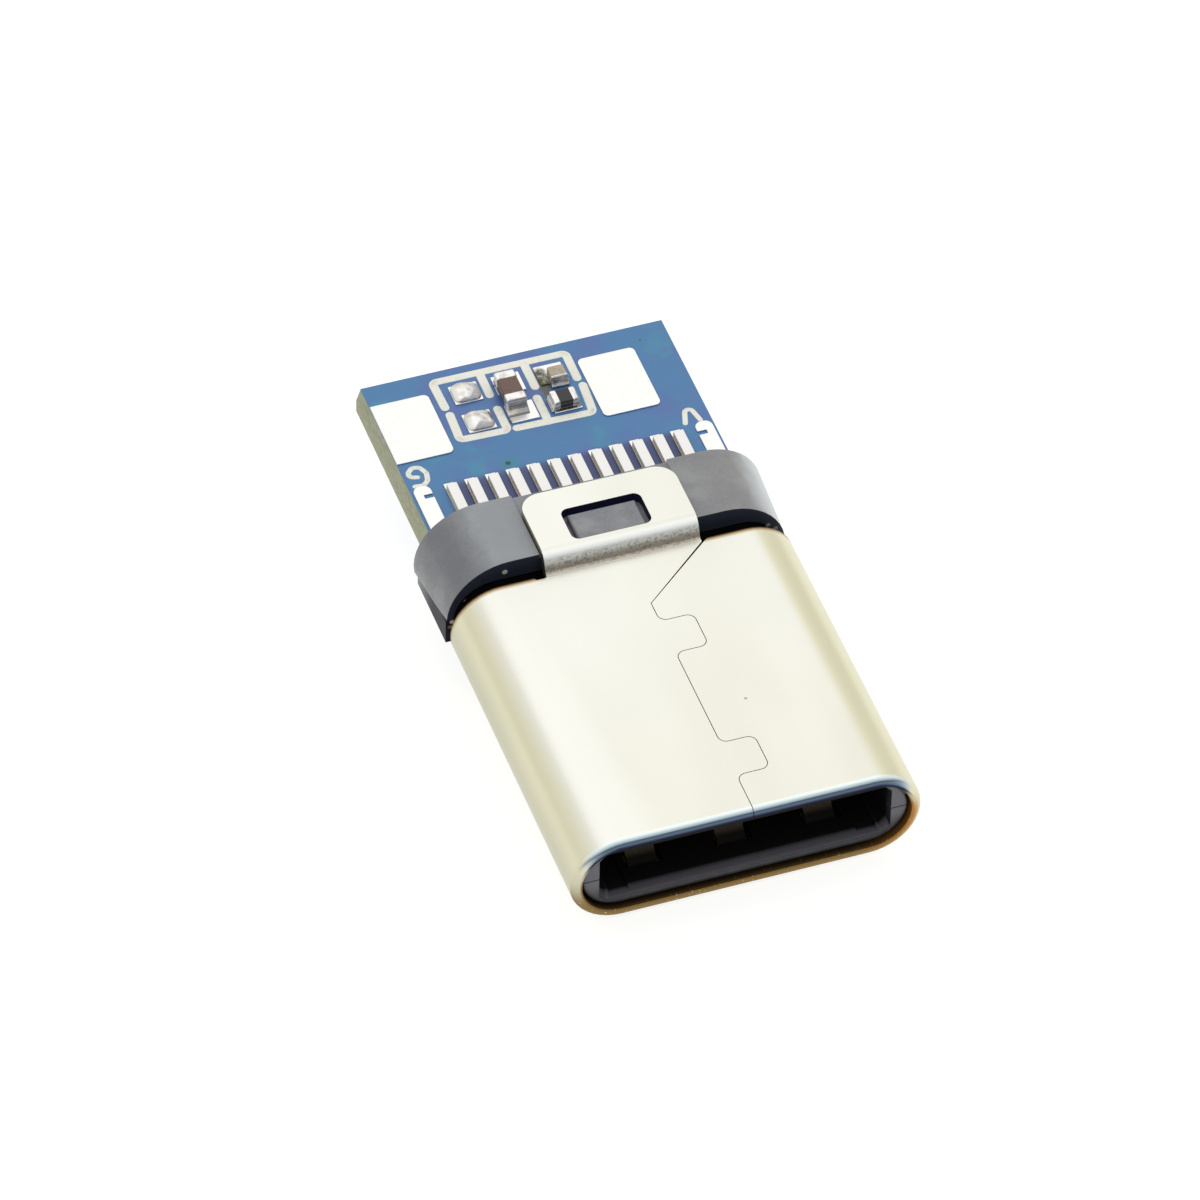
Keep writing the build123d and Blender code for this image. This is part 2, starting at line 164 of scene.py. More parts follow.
def facing(tree):
    # the way the surface faces, its shares forward and up, and how far it leans over
    # sideways, in radians
    normal = addNode(tree, "ShaderNodeTexCoord").outputs["Normal"]
    across, along, up = addNode(tree, "ShaderNodeSeparateXYZ", {0: normal}).outputs
    forward = addNode(tree, "ShaderNodeMath", {0: along, 1: -1.0}, operation="MULTIPLY").outputs[0]
    sideways = addNode(tree, "ShaderNodeMath", {0: across}, operation="ABSOLUTE").outputs[0]
    lean = addNode(tree, "ShaderNodeMath", {0: sideways, 1: up}, operation="ARCTAN2").outputs[0]
    return SimpleNamespace(normal=normal, forward=forward, up=up, lean=lean)


def fromMiddle(at):
    # how far a place lies from the middle line of the mouth's slot
    tree = at.z.id_data
    low, high = boxMm("nose_upper")
    halfStraight = (high.x - low.x) / 2 - high.z
    past = addNode(tree, "ShaderNodeMath", {0: at.side, 1: halfStraight}, operation="SUBTRACT")
    beyond = addNode(tree, "ShaderNodeMath", {0: past.outputs[0], 1: 0.0}, operation="MAXIMUM")
    reach = addNode(tree, "ShaderNodeCombineXYZ", {0: beyond.outputs[0], 1: at.z})
    return addNode(tree, "ShaderNodeVectorMath", {
        0: reach.outputs[0],
    }, operation="LENGTH").outputs["Value"]


# Materials

def nickelPlate():
    # Bright nickel over steel, drawn and tumbled: a warm cream mirror blurred by a fine
    # grain, with painted reflections: khaki where it turns down to the flanks, brown-gold
    # over real scratches round the lower half of the mouth, and frosty to navy where the
    # upper rim faces the dark room
    look = {
        "plate": "#e0dfd3", "warm": "#d9d8ca", "rear": "#e8e7df", "flank": "#dedabc",
        "low": "#c1bfa7", "gold": "#927749", "umber": "#3a2418", "amber": "#c98d45",
        "scratch": "#f0e2bc", "shade": "#0e152c", "step": "#f8faf6", "sand": "#bbb1a3",
        "grit": "#8b8a84", "rearGold": "#bca67e", "rearEdge": "#5e4630", "seam": "#efdfa6",
        "window": "#34375f", "speck": "#6b5a4a", "roughness": 0.285, "patchRoughness": 0.345,
        "dullRoughness": 0.55, "patchMm": 1.6, "scratchMm": 0.06, "gritMm": 0.07,
        "grainMm": 0.05, "grainDepthMm": 0.0015, "speckPlace": (1.1, 3.3, 1.2),
    }
    # the upper rim's painted reflections of the room: where it faces forward by this much,
    # and from which height
    rimTones = (
        ("#e4ebe8", 0.08, 0.30, 0.55), ("#dce8e8", 0.30, 0.50, 0.55),
        ("#b8cad2", 0.48, 0.72, 0.55), ("#758795", 0.70, 0.87, 0.55),
        ("#55657b", 0.86, 0.97, 0.50), ("#2f3a54", 0.97, 1.00, 0.20),
    )
    rimRise = 0.55
    material, place = startMaterial("nickelPlate")
    tree = material.node_tree
    at, way = measure(place), facing(tree)
    patches = fade(grain(place, look["patchMm"], 1.0, (1, 0.5, 1)), 0.1, 0.9)
    colour = paint(look["plate"], look["warm"], patches, 0.7)
    # painted highlight: paler towards the rear, most on the left, and along the left shoulder
    leftMore = addNode(tree, "ShaderNodeMix", {0: fade(at.x, -1.0, 0.8), 2: 0.75, 3: 0.35})
    rearPale = overlap(fade(at.y, 0.3, 7.0), leftMore.outputs[0])
    shoulder = overlap(fade(at.x, -1.8, -2.7), 0.8)
    colour = paint(colour, look["rear"], either(rearPale, shoulder))
    # painted reflection: the right shoulder turns khaki at once, the left one only after a
    # bright painted highlight along its edge
    rightTurn = overlap(fade(way.lean, 0.06, 0.3), fade(at.x, 0.0, 1.0), 0.9)
    leftTurn = overlap(fade(way.lean, 0.3, 0.9), fade(at.x, 0.0, -1.0), 0.85)
    colour = paint(colour, look["flank"], either(rightTurn, leftTurn))
    # the left flank, turned from the light, is duller still
    colour = paint(colour, look["low"], fade(way.lean, 0.75, 1.55), fade(at.x, 0.5, -0.5))
    atRim = fade(at.y, 0.26, 0.2)
    for tone, start, full, level in rimTones:
        over = fade(at.z, level, level + rimRise)
        colour = paint(colour, tone, atRim, over, fade(way.forward, start, full))
    # the lower rim and the wall ahead of the insulator get a brown-gold painted reflection of
    # the dark mouth over real scratches, darkened to umber painted shade further in, and at
    # the right end the painted reflection climbs higher and turns orange towards the inside
    rightEnd = fade(at.x, 2.4, 4.0)
    scratches = fade(grain(place, look["scratchMm"], 2.0, (1, 0.2, 1)), 0.64, 0.7)
    gold = paint(look["gold"], look["scratch"], scratches, 0.6)
    gold = paint(gold, look["umber"], fade(at.y, 0.02, 0.16), 0.8)
    gold = paint(gold, look["amber"], rightEnd, 0.6)
    # the rubbed lower rim: real scratches under the brown-gold painted reflection
    rimReflectionHeight = addNode(tree, "ShaderNodeMath", {
        0: rightEnd, 1: -0.45, 2: at.z,
    }, operation="MULTIPLY_ADD")
    rimReflectionWidth = addNode(tree, "ShaderNodeMix", {
        0: rightEnd, 2: fade(way.forward, 0.05, 0.4), 3: fade(fromMiddle(at), 1.19, 1.0),
    })
    worn = overlap(fade(rimReflectionHeight.outputs[0], 0.25, -0.6), atRim, rimReflectionWidth.outputs[0])
    noseTop = boxMm("nose_upper")[1].z
    onInside = fade(fromMiddle(at), noseTop + 0.1, noseTop + 0.05)
    inner = overlap(fade(at.y, 0.6, 0.55), onInside)
    # brown-gold painted reflection on the lower inside wall and the rubbed lower rim
    goldReflection = either(overlap(inner, fade(at.z, 0.6, 0.1)), worn)
    colour = paint(colour, gold, goldReflection)
    colour = paint(colour, look["shade"], inner, fade(at.z, 0.45, 0.75))
    # the tab's step is gritty, with a white painted highlight along its top that turns to
    # sand-coloured painted shade on its way down; from here on, places are counted from the
    # shell's rear end and from its top
    rear, top = boxMm("shell")[1].y, boxMm("shell")[1].z
    behind = addNode(tree, "ShaderNodeMath", {0: at.y, 1: rear}, operation="SUBTRACT").outputs[0]
    below = addNode(tree, "ShaderNodeMath", {0: top, 1: at.z}, operation="SUBTRACT").outputs[0]
    step = overlap(
        fade(behind, -2.28, -2.2), fade(behind, -1.6, -1.7), fade(way.forward, 0.06, 0.25),
    )
    grit = fade(grain(place, look["gritMm"], 3.0), 0.45, 0.65)
    colour = paint(colour, look["step"], step, fade(below, 0.01, 0.06))
    colour = paint(colour, look["sand"], step, fade(below, 0.2, 0.38))
    colour = paint(colour, look["grit"], step, fade(below, 0.1, 0.3), grit, 0.7)
    # the sheared rear edge beside the tabs, browned and darkened towards the edge as
    # painted shade
    beside = fade(at.side, 1.88, 1.94)
    colour = paint(colour, look["rearGold"], beside, fade(behind, -2.24, -2.16))
    colour = paint(colour, look["rearEdge"], beside, fade(behind, -2.17, -2.11))
    # the sheared walls of the seam, painted light to lighten their shade, and the sheared
    # walls of the tab's window, with a navy painted reflection
    level = addNode(tree, "ShaderNodeMath", {0: way.up}, operation="ABSOLUTE").outputs[0]
    upright = fade(level, 0.4, 0.15)
    seam = overlap(
        upright, fade(at.z, 0.8, 0.9), fade(at.side, 1.9, 1.8), fade(at.y, 0.25, 0.3),
        fade(behind, -2.35, -2.45),
    )
    window = overlap(
        upright, fade(at.side, 1.3, 1.2), fade(behind, -1.74, -1.7), fade(behind, -0.5, -0.6),
    )
    colour = paint(colour, look["seam"], seam)
    colour = paint(colour, look["window"], window)
    colour = paint(colour, look["speck"], spot(place, look["speckPlace"], 0.025, 0.02), 0.6)
    patchy = addNode(tree, "ShaderNodeMix", {
        0: patches, 2: look["roughness"], 3: look["patchRoughness"],
    })
    roughness = addNode(tree, "ShaderNodeMix", {
        0: either(goldReflection, window, overlap(step, 0.6)), 2: patchy.outputs[0],
        3: look["dullRoughness"],
    })
    return endMaterial(
        material, colour, roughness.outputs[0], grain(place, look["grainMm"], 3.0),
        look["grainDepthMm"], metallic=1.0,
    )


def blackMoulding():
    # Glass-filled black nylon, moulded against polished steel: the front ring has a blue-grey
    # sheen, with a paler painted sheen at its ends and painted shade where the shell shades
    # its outer edge and its top, and the cavity behind it is dull and painted nearly black
    # as shade
    look = {
        "ring": "#26282f", "worn": "#34353c", "ends": "#5a5b61", "lead": "#55535a",
        "edge": "#0d090b", "cavity": "#0b0a0a", "roughness": 0.36, "dullRoughness": 0.62,
        "gloss": 0.5, "dullGloss": 0.15, "flowMm": 0.4, "grainMm": 0.08, "grainDepthMm": 0.003,
    }
    low, high = boxMm("nose_upper")
    material, place = startMaterial("blackMoulding")
    tree = material.node_tree
    at, way = measure(place), facing(tree)
    behind = addNode(tree, "ShaderNodeMath", {0: at.y, 1: low.y}, operation="SUBTRACT").outputs[0]
    flow = fade(grain(place, look["flowMm"], 3.0, (1, 0.3, 1)), 0.4, 0.75)
    colour = paint(look["ring"], look["worn"], flow)
    colour = paint(colour, look["ends"], fade(at.side, 3.1, 3.5), fade(at.z, -0.6, -0.1))
    # painted light and shade: the lead-in is a little paler where it looks up, and painted
    # black as shade on its side walls
    looksUp = fade(way.up, 0.15, 0.4)
    leadIn = fade(behind, 0.0, 0.06)
    colour = paint(colour, look["lead"], leadIn, looksUp, fade(at.z, 0.2, -0.3))
    alongTop = overlap(fade(at.z, 0.25, 0.5), fade(at.side, 3.45, 3.15))
    outerEdge = overlap(
        fade(at.z, 0.1, -0.5), fade(fromMiddle(at), high.z - 0.18, high.z - 0.02),
    )
    shaded = either(alongTop, outerEdge)
    deep = fade(behind, 0.14, 0.28)
    sideWalls = overlap(fade(behind, 0.01, 0.03), fade(looksUp, 0.6, 0.2))
    # painted shade along the ring's top and outer edge, in the deep cavity and on the lead-in's
    # side walls
    colour = paint(colour, look["edge"], shaded)
    colour = paint(colour, look["cavity"], deep)
    colour = paint(colour, look["edge"], sideWalls, 0.8)
    dull = either(deep, sideWalls, shaded)
    roughness = addNode(tree, "ShaderNodeMix", {
        0: dull, 2: look["roughness"], 3: look["dullRoughness"],
    })
    gloss = addNode(tree, "ShaderNodeMix", {0: dull, 2: look["gloss"], 3: look["dullGloss"]})
    return endMaterial(
        material, colour, roughness.outputs[0], grain(place, look["grainMm"], 2.0),
        look["grainDepthMm"], specular=gloss.outputs[0],
    )


# bits of flash and dust on the collar's front face: place, radius and tone
crumbs = (
    ((-2.70, 8.75, 1.20), 0.05, "crumb"), ((-3.63, 8.75, 0.57), 0.03, "rust"),
    ((-3.95, 8.75, 0.0), 0.04, "crumb"), ((-4.0, 8.75, -0.15), 0.03, "rust"),
    ((3.64, 8.75, 0.72), 0.04, "grey"), ((3.83, 8.75, 0.56), 0.04, "grey"),
)


def sparkedMoulding():
    # The same nylon from a spark-eroded mould: its outside is a pale matt grey, cloudy and
    # lightly sanded, while its front face, neck and side flats, shut off by flat steel, stay
    # smooth and black; the neck and the front of the flats are darkened further as painted
    # shade, and the shoulders carry painted highlights and painted shade
    look = {
        "grey": "#7f8386", "grain": "#77767b", "pale": "#929596", "violet": "#6f6b72",
        "warm": "#8f8d8a", "lit": "#999da1", "dusky": "#63656a", "bright": "#d2d8da",
        "face": "#2c313d", "flat": "#231e28", "neck": "#0b0a0c", "crumb": "#c9c6ba",
        "rust": "#8a7448", "roughness": 0.5, "smoothRoughness": 0.34, "gloss": 0.5,
        "faceGloss": 0.22, "neckGloss": 0.03, "sandMm": 0.06, "cloudMm": 0.8,
        "veilMm": 0.45, "sandDepthMm": 0.004,
    }
    collarLength = 2.0
    high = boxMm("collar")[1]
    noseTop = boxMm("nose_upper")[1].z
    material, place = startMaterial("sparkedMoulding")
    tree = material.node_tree
    at, way = measure(place), facing(tree)
    behind = addNode(tree, "ShaderNodeMath", {
        0: at.y, 1: high.y - collarLength,
    }, operation="SUBTRACT").outputs[0]
    face = overlap(fade(way.forward, 0.5, 0.75), fade(behind, 0.4, 0.3))
    # the neck behind the shell's edge: smooth black nylon in painted shade
    neck = overlap(fade(fromMiddle(at), noseTop + 0.08, noseTop + 0.05), fade(behind, 0.1, 0.05))
    # the slanted flats in the flanks run down towards the rear; their black is partly the
    # smooth moulding and partly painted shade, darkest at the front and greyer towards the rear
    slant = addNode(tree, "ShaderNodeMath", {0: behind, 1: 0.17, 2: at.z}, operation="MULTIPLY_ADD")
    flat = overlap(
        fade(at.side, high.x - 0.25, high.x - 0.2), fade(slant.outputs[0], 0.11, 0.07),
        fade(at.z, -0.68, -0.63), fade(behind, 2.6, 0.9),
    )
    sand = grain(place, look["sandMm"], 2.5)
    cloud = grain(place, look["cloudMm"], 2.5)
    veil = fade(grain(place, look["veilMm"], 2.0, (1, 1.4, 1)), 0.5, 0.75)
    colour = paint(look["grain"], look["grey"], fade(sand, 0.3, 0.7))
    colour = paint(colour, look["pale"], fade(cloud, 0.42, 0.72), 0.7)
    colour = paint(colour, look["violet"], veil, 0.45)
    colour = paint(colour, look["warm"], fade(at.x, 1.2, 3.4), 0.5)
    # painted light: the left shoulder gets a painted highlight along its top and painted
    # shade where it turns down, and the right one a pale painted highlight where it turns
    colour = paint(colour, look["lit"], fade(at.x, -1.0, -2.4), fade(way.lean, 0.7, 0.0), 0.6)
    uneven = addNode(tree, "ShaderNodeMix", {0: cloud, 2: 0.5, 3: 1.3})
    colour = paint(
        colour, look["dusky"], fade(at.x, -1.0, -2.0), fade(way.lean, 0.1, 0.8),
        fade(way.lean, 1.5, 0.8), uneven.outputs[0], 0.85,
    )
    colour = paint(
        colour, look["bright"], fade(at.x, 1.0, 2.0), fade(way.lean, 0.4, 1.05),
        fade(way.lean, 1.5, 1.24), 0.9,
    )
    for tone, mask in (("face", face), ("flat", flat), ("neck", neck)):
        colour = paint(colour, look[tone], mask)
    for centre, radius, tone in crumbs:
        colour = paint(colour, look[tone], spot(place, centre, radius, 0.03), face)
    smooth = either(face, neck, flat)
    height = addNode(tree, "ShaderNodeMix", {0: smooth, 2: sand, 3: 0.5})
    roughness = addNode(tree, "ShaderNodeMix", {
        0: smooth, 2: look["roughness"], 3: look["smoothRoughness"],
    })
    gloss = addNode(tree, "ShaderNodeMix", {0: face, 2: look["gloss"], 3: look["faceGloss"]})
    gloss = addNode(tree, "ShaderNodeMix", {
        0: either(neck, flat), 2: gloss.outputs[0], 3: look["neckGloss"],
    })
    return endMaterial(
        material, colour, roughness.outputs[0], height.outputs[0], look["sandDepthMm"],
        specular=gloss.outputs[0], strength=0.7,
    )


def platedContact():
    # Copper alloy strip, gold over the touching end and tin over the soldered tail: a
    # yellow metal in the mouth and a white one on the board
    look = {
        "gold": "#e3bb6c", "tin": "#e9e7e3", "goldMetal": 1.0, "tinMetal": 0.5,
        "roughness": 0.28, "rolledRoughness": 0.38, "rollMm": 0.03, "rollDepthMm": 0.0015,
    }
    material, place = startMaterial("platedContact")
    tree = material.node_tree
    at = measure(place)
    tinned = fade(at.y, 6.6, 7.6)
    rolled = grain(place, look["rollMm"], 2.0, (1, 0.1, 1))
    metal = addNode(tree, "ShaderNodeMix", {0: tinned, 2: look["goldMetal"], 3: look["tinMetal"]})
    roughness = addNode(tree, "ShaderNodeMix", {
        0: rolled, 2: look["roughness"], 3: look["rolledRoughness"],
    })
    return endMaterial(
        material, paint(look["gold"], look["tin"], tinned), roughness.outputs[0], rolled,
        look["rollDepthMm"], metallic=metal.outputs[0],
    )


def springSteel():
    # Rolled stainless strip, dulled by the heat treatment: a brown-grey metal with fine lines
    # along the rolling, painted dark as the shade inside the mouth, and darker still as
    # painted shade where the fingers lie behind the mouth's edges
    look = {
        "steel": "#5d5446", "dark": "#3a342c", "shade": "#171512", "roughness": 0.4,
        "lineMm": 0.02, "lineDepthMm": 0.001,
    }
    material, place = startMaterial("springSteel")
    tree = material.node_tree
    at = measure(place)
    lines = grain(place, look["lineMm"], 2.0, (1, 0.05, 1))
    fromMid = addNode(tree, "ShaderNodeMath", {0: at.z}, operation="ABSOLUTE").outputs[0]
    colour = paint(look["dark"], look["steel"], fade(lines, 0.3, 0.7))
    # painted shade where the fingers lie behind the mouth's edges
    colour = paint(colour, look["shade"], fade(fromMid, 0.52, 0.68))
    return endMaterial(
        material, colour, look["roughness"], lines, look["lineDepthMm"], metallic=1.0,
    )


# what lies on the board: plated holes and spots of burnt flux, each a place and a radius
boardTop = boxMm("board")[1].z
viaPlaces = (((-1.25, 12.73), 0.14), ((0.95, 13.67), 0.12), ((2.99, 15.64), 0.05))
fluxPlaces = (
    ((0.40, 15.30), 0.07), ((0.40, 15.16), 0.09), ((0.37, 15.02), 0.09),
    ((0.38, 14.88), 0.09), ((0.37, 14.74), 0.07), ((0.36, 14.60), 0.05),
    ((-0.84, 13.98), 0.03),
)
flux = {"tone": "#565541", "soft": 0.14, "mottleMm": 0.12}


def fluxMask(place):
    # where burnt flux was left beside the small parts
    marks = [
        spot(place, (*centre, boardTop), radius, flux["soft"]) for centre, radius in fluxPlaces
    ]
    return overlap(either(*marks), fade(grain(place, flux["mottleMm"]), 0.1, 0.6))


def solderMask():
    # Blue photo-cured epoxy over copper and glass laminate: glossy, deeper over bare
    # laminate and greener over copper, with raw khaki laminate at the cut edges
    look = {
        "mask": "#4076a6", "violet": "#5263a2", "teal": "#3a86a2", "halo": "#2b7f8c",
        "hole": "#12424e", "gap": "#363b6c", "laminate": "#8a8d74", "fibre": "#a3a58c",
        "roughness": 0.3, "cutRoughness": 0.75, "deepMm": 1.5, "greenMm": 0.9,
        "orangePeelMm": 0.25, "yarnMm": 0.05, "depthMm": 0.01,
    }
    board, pads = boxMm("board")[1], boxMm("contact_pads_upper")[1]
    material, place = startMaterial("solderMask")
    tree = material.node_tree
    at = measure(place)
    deep = fade(grain(place, look["deepMm"]), 0.42, 0.62)
    green = fade(grain(place, look["greenMm"], 2.0, (1, 1.3, 1)), 0.55, 0.72)
    colour = paint(look["mask"], look["violet"], deep, 0.6)
    colour = paint(colour, look["teal"], green, 0.7)
    # between the tails the mask lies over bare laminate and in their shade
    rowEnds = fade(at.side, pads.x - 0.75, pads.x - 0.85)
    colour = paint(colour, look["gap"], fade(at.y, pads.y + 0.02, pads.y - 0.25), rowEnds, 0.85)
    for centre, radius in viaPlaces:
        middle = (*centre, boardTop)
        colour = paint(colour, look["halo"], spot(place, middle, 0.9 * radius, radius), 0.7)
        colour = paint(colour, look["hole"], spot(place, middle, 0.3 * radius, 0.3 * radius))
    colour = paint(colour, flux["tone"], fluxMask(place))
    # the snapped sides and the sawn end show the yarns of the glass cloth
    fibres = grain(place, look["yarnMm"], 3.0, (0.3, 0.2, 2.5))
    raw = paint(look["laminate"], look["fibre"], fade(fibres, 0.35, 0.65))
    cut = either(
        fade(at.side, board.x - 0.108, board.x - 0.102),
        fade(at.y, board.y - 0.012, board.y - 0.004),
    )
    colour = paint(colour, raw, cut)
    height = addNode(tree, "ShaderNodeMix", {
        0: cut, 2: overlap(grain(place, look["orangePeelMm"]), 0.4), 3: fibres,
    })
    roughness = addNode(tree, "ShaderNodeMix", {
        0: cut, 2: look["roughness"], 3: look["cutRoughness"],
    })
    return endMaterial(
        material, colour, roughness.outputs[0], height.outputs[0], look["depthMm"],
    )


padTin = {
    "tin": "#f4f3f0", "roughness": 0.28, "frostRoughness": 0.38, "waveDepthMm": 0.012,
    "metal": 1.0, "reflectionAndStain": 0.0,
}
heapTin = {
    "tin": "#efedea", "roughness": 0.16, "frostRoughness": 0.26, "waveDepthMm": 0.03,
    "metal": 0.8, "reflectionAndStain": 0.75,
}


def levelledTin(name, look):
    # Hot-air-levelled solder on copper: flat white metal that ripples at the edges. Solder
    # heaped by hand is glossier, with a grey painted reflection where it slopes to the front
    # right, and beige in patches
    shared = {
        "frost": "#d9d8d2", "grey": "#8b8a90", "beige": "#b3a48e", "underTails": "#bfae8f",
        "rippleMm": 0.35, "frostMm": 0.04, "beigeMm": 0.3, "rowHalfWidth": 3.0, "rowEnd": 12.35,
    }
    material, place = startMaterial(name)
    tree = material.node_tree
    at = measure(place)
    ripple, frost = grain(place, shared["rippleMm"]), grain(place, shared["frostMm"])
    colour = paint(look["tin"], shared["frost"], frost, 0.5)
    if look["reflectionAndStain"]:
        # a grey painted reflection on the slopes to the front right, and beige in patches
        slope = addNode(tree, "ShaderNodeVectorMath", {
            0: facing(tree).normal, 1: (0.7, -0.7, 0),
        }, operation="DOT_PRODUCT")
        away = addNode(tree, "ShaderNodeMath", {
            0: ripple, 1: 1.6, 2: slope.outputs["Value"],
        }, operation="MULTIPLY_ADD")
        beige = fade(grain(place, shared["beigeMm"], 1.0, (1.3, 1, 1)), 0.55, 0.72)
        colour = paint(colour, shared["grey"], fade(away.outputs[0], 0.9, 1.25), look["reflectionAndStain"])
        colour = paint(colour, shared["beige"], beige, 0.6 * look["reflectionAndStain"])
    # beige in the shade under the row of tails
    inRow = overlap(
        fade(at.side, shared["rowHalfWidth"] + 0.05, shared["rowHalfWidth"] - 0.05),
        fade(at.y, shared["rowEnd"] + 0.05, shared["rowEnd"] - 0.05),
    )
    colour = paint(colour, shared["underTails"], inRow)
    colour = paint(colour, flux["tone"], fluxMask(place))
    height = addNode(tree, "ShaderNodeMath", {
        0: frost, 1: 0.15, 2: ripple,
    }, operation="MULTIPLY_ADD")
    roughness = addNode(tree, "ShaderNodeMix", {
        0: frost, 2: look["roughness"], 3: look["frostRoughness"],
    })
    return endMaterial(
        material, colour, roughness.outputs[0], height.outputs[0], look["waveDepthMm"],
        metallic=look["metal"],
    )


def silkInk():
    # Screen-printed epoxy ink: warm white, matt, slightly uneven where the mesh left it
    look = {
        "ink": "#e9e8dc", "thin": "#dcddd4", "roughness": 0.6, "meshMm": 0.06, "depthMm": 0.004,
    }
    material, place = startMaterial("silkInk")
    weave = grain(place, look["meshMm"])
    colour = paint(look["ink"], look["thin"], fade(weave, 0.5, 0.75))
    return endMaterial(material, colour, look["roughness"], weave, look["depthMm"])


def chipBody(name, base, speckle, roughness):
    # Fired ceramic or moulded epoxy of a surface-mount part, with a pitted surface
    look = {"pitMm": 0.05, "depthMm": 0.004}
    material, place = startMaterial(name)
    pits = grain(place, look["pitMm"], 3.0)
    colour = paint(base, speckle, fade(pits, 0.4, 0.7))
    return endMaterial(material, colour, roughness, pits, look["depthMm"])


finishes = {
    "plated_shell": nickelPlate(),
    "black_moulding": blackMoulding(),
    "grey_collar": sparkedMoulding(),
    "contact_metal": platedContact(),
    "spring_steel": springSteel(),
    "blue_board": solderMask(),
    "tinned_pad": levelledTin("levelledTin", padTin),
    "solder": levelledTin("reflowedSolder", heapTin),
    "capacitor_ceramic": chipBody("bariumCeramic", "#6b5347", "#54423b", 0.4),
    "diode_body": chipBody("mouldedEpoxy", "#b3a692", "#9c8f7c", 0.5),
    "resistor_body": chipBody("glassGlaze", "#191718", "#25221f", 0.18),
}
print("materials made:", len(finishes))


# Finished copies of the CAD nodes: merged, with small broken edges and smooth curves

# widths and gaps are in millimetres
edgeWidths = {
    "shell": 0.02, "nose_upper": 0.025, "nose_lower": 0.025, "carrier_upper": 0.02,
    "carrier_lower": 0.02, "collar": 0.035, "board": 0.012, "latch_plate": 0.015,
    "spring_upper": 0.012, "spring_lower": 0.012, "wire_pad_left": 0.015,
    "wire_pad_right": 0.015, "contact_pads_upper": 0.012, "contact_pads_lower": 0.012,
    "site_pads": 0.015,
}
contactEdge = 0.02
mergeGap = 0.0005
flatAngle, creaseAngle = math.radians(0.6), math.radians(30)


def cleanMesh(source):
    # Blender's bevel works badly on very small numbers, so the copy is in millimetres
    mesh = source.data.copy()
    mesh.materials.clear()
    mesh.transform(Matrix.Scale(1 / mm, 4))
    bm = bmesh.new()
    bm.from_mesh(mesh)
    bmesh.ops.remove_doubles(bm, verts=bm.verts, dist=mergeGap)
    bmesh.ops.dissolve_limit(bm, angle_limit=flatAngle, verts=bm.verts, edges=bm.edges)
    bm.to_mesh(mesh)
    bm.free()
    return mesh


def settle(piece, finish, slotName, *replaced):
    # bakes the modifiers, scales millimetres to metres and tells the frame
    graph = bpy.context.evaluated_depsgraph_get()
    mesh = bpy.data.meshes.new_from_object(piece.evaluated_get(graph))
    piece.modifiers.clear()
    piece.data = mesh
    mesh.transform(Matrix.Scale(mm, 4))
    mesh.materials.clear()
    mesh.materials.append(finish)
    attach(piece, "root")
    if replaced:
        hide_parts(*replaced)
    return piece


def finishNode(nodeName, slotName, edgeWidth):
    mesh = cleanMesh(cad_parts[nodeName])
    for polygon in mesh.polygons:
        polygon.use_smooth = True
    piece = bpy.data.objects.new(nodeName + "_finished", mesh)
    scene.collection.objects.link(piece)
    rounded = piece.modifiers.new("brokenEdges", "BEVEL")
    rounded.limit_method = "ANGLE"
    rounded.angle_limit = creaseAngle
    rounded.width = edgeWidth
    rounded.segments = 2
    rounded.use_clamp_overlap = True
    even = piece.modifiers.new("evenShading", "WEIGHTED_NORMAL")
    even.keep_sharp = True
    return settle(piece, finishes[slotName], slotName, nodeName)


nodeSlots = {
    "shell": "plated_shell", "collar": "grey_collar", "latch_plate": "spring_steel",
    "board": "blue_board", "site_pads": "tinned_pad",
}
for half in ("upper", "lower"):
    nodeSlots["nose_" + half] = "black_moulding"
    nodeSlots["carrier_" + half] = "black_moulding"
    nodeSlots["spring_" + half] = "spring_steel"
    nodeSlots["contact_pads_" + half] = "tinned_pad"
for side in ("left", "right"):
    nodeSlots["wire_pad_" + side] = "tinned_pad"
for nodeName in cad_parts:
    if nodeName.startswith(("contact_a", "contact_b")):
        nodeSlots[nodeName] = "contact_metal"

for nodeName, slotName in nodeSlots.items():
    finishNode(nodeName, slotName, edgeWidths.get(nodeName, contactEdge))
print("CAD nodes finished:", len(nodeSlots))


# Small parts on the board: a body, metal ends that wrap it, two on most and one on the
# diode, and a fillet of solder at each end

def ringLoft(rings):
    # closed skin over rings with equal counts of points, bottom ring first
    bm = bmesh.new()
    loops = [[bm.verts.new(point) for point in ring] for ring in rings]
    count = len(loops[0])
    for low, high in zip(loops, loops[1:]):
        for i in range(count):
            j = (i + 1) % count
            bm.faces.new((low[i], low[j], high[j], high[i]))
    bm.faces.new(loops[0])
    bm.faces.new(loops[-1])
    bmesh.ops.recalc_face_normals(bm, faces=bm.faces)
    return bm


def roundedRing(centre, width, length, corner, z, steps=6):
    # points round a rectangle with round corners, in the plane z
    points = []
    corner = min(corner, width / 2 - 0.001, length / 2 - 0.001)
    for quarter, (sx, sy) in enumerate(((1, 1), (-1, 1), (-1, -1), (1, -1))):
        x = centre[0] + sx * (width / 2 - corner)
        y = centre[1] + sy * (length / 2 - corner)
        for step in range(steps + 1):
            angle = math.pi / 2 * (quarter + step / steps)
            points.append((x + corner * math.cos(angle), y + corner * math.sin(angle), z))
    return points


def addPiece(name, bm):
    mesh = bpy.data.meshes.new(name)
    bm.to_mesh(mesh)
    bm.free()
    for polygon in mesh.polygons:
        polygon.use_smooth = True
    piece = bpy.data.objects.new(name, mesh)
    scene.collection.objects.link(piece)
    return piece


# "crown" is how far the dome draws in towards its top
heap = {"crown": 0.2, "corner": 0.16, "layers": 9}


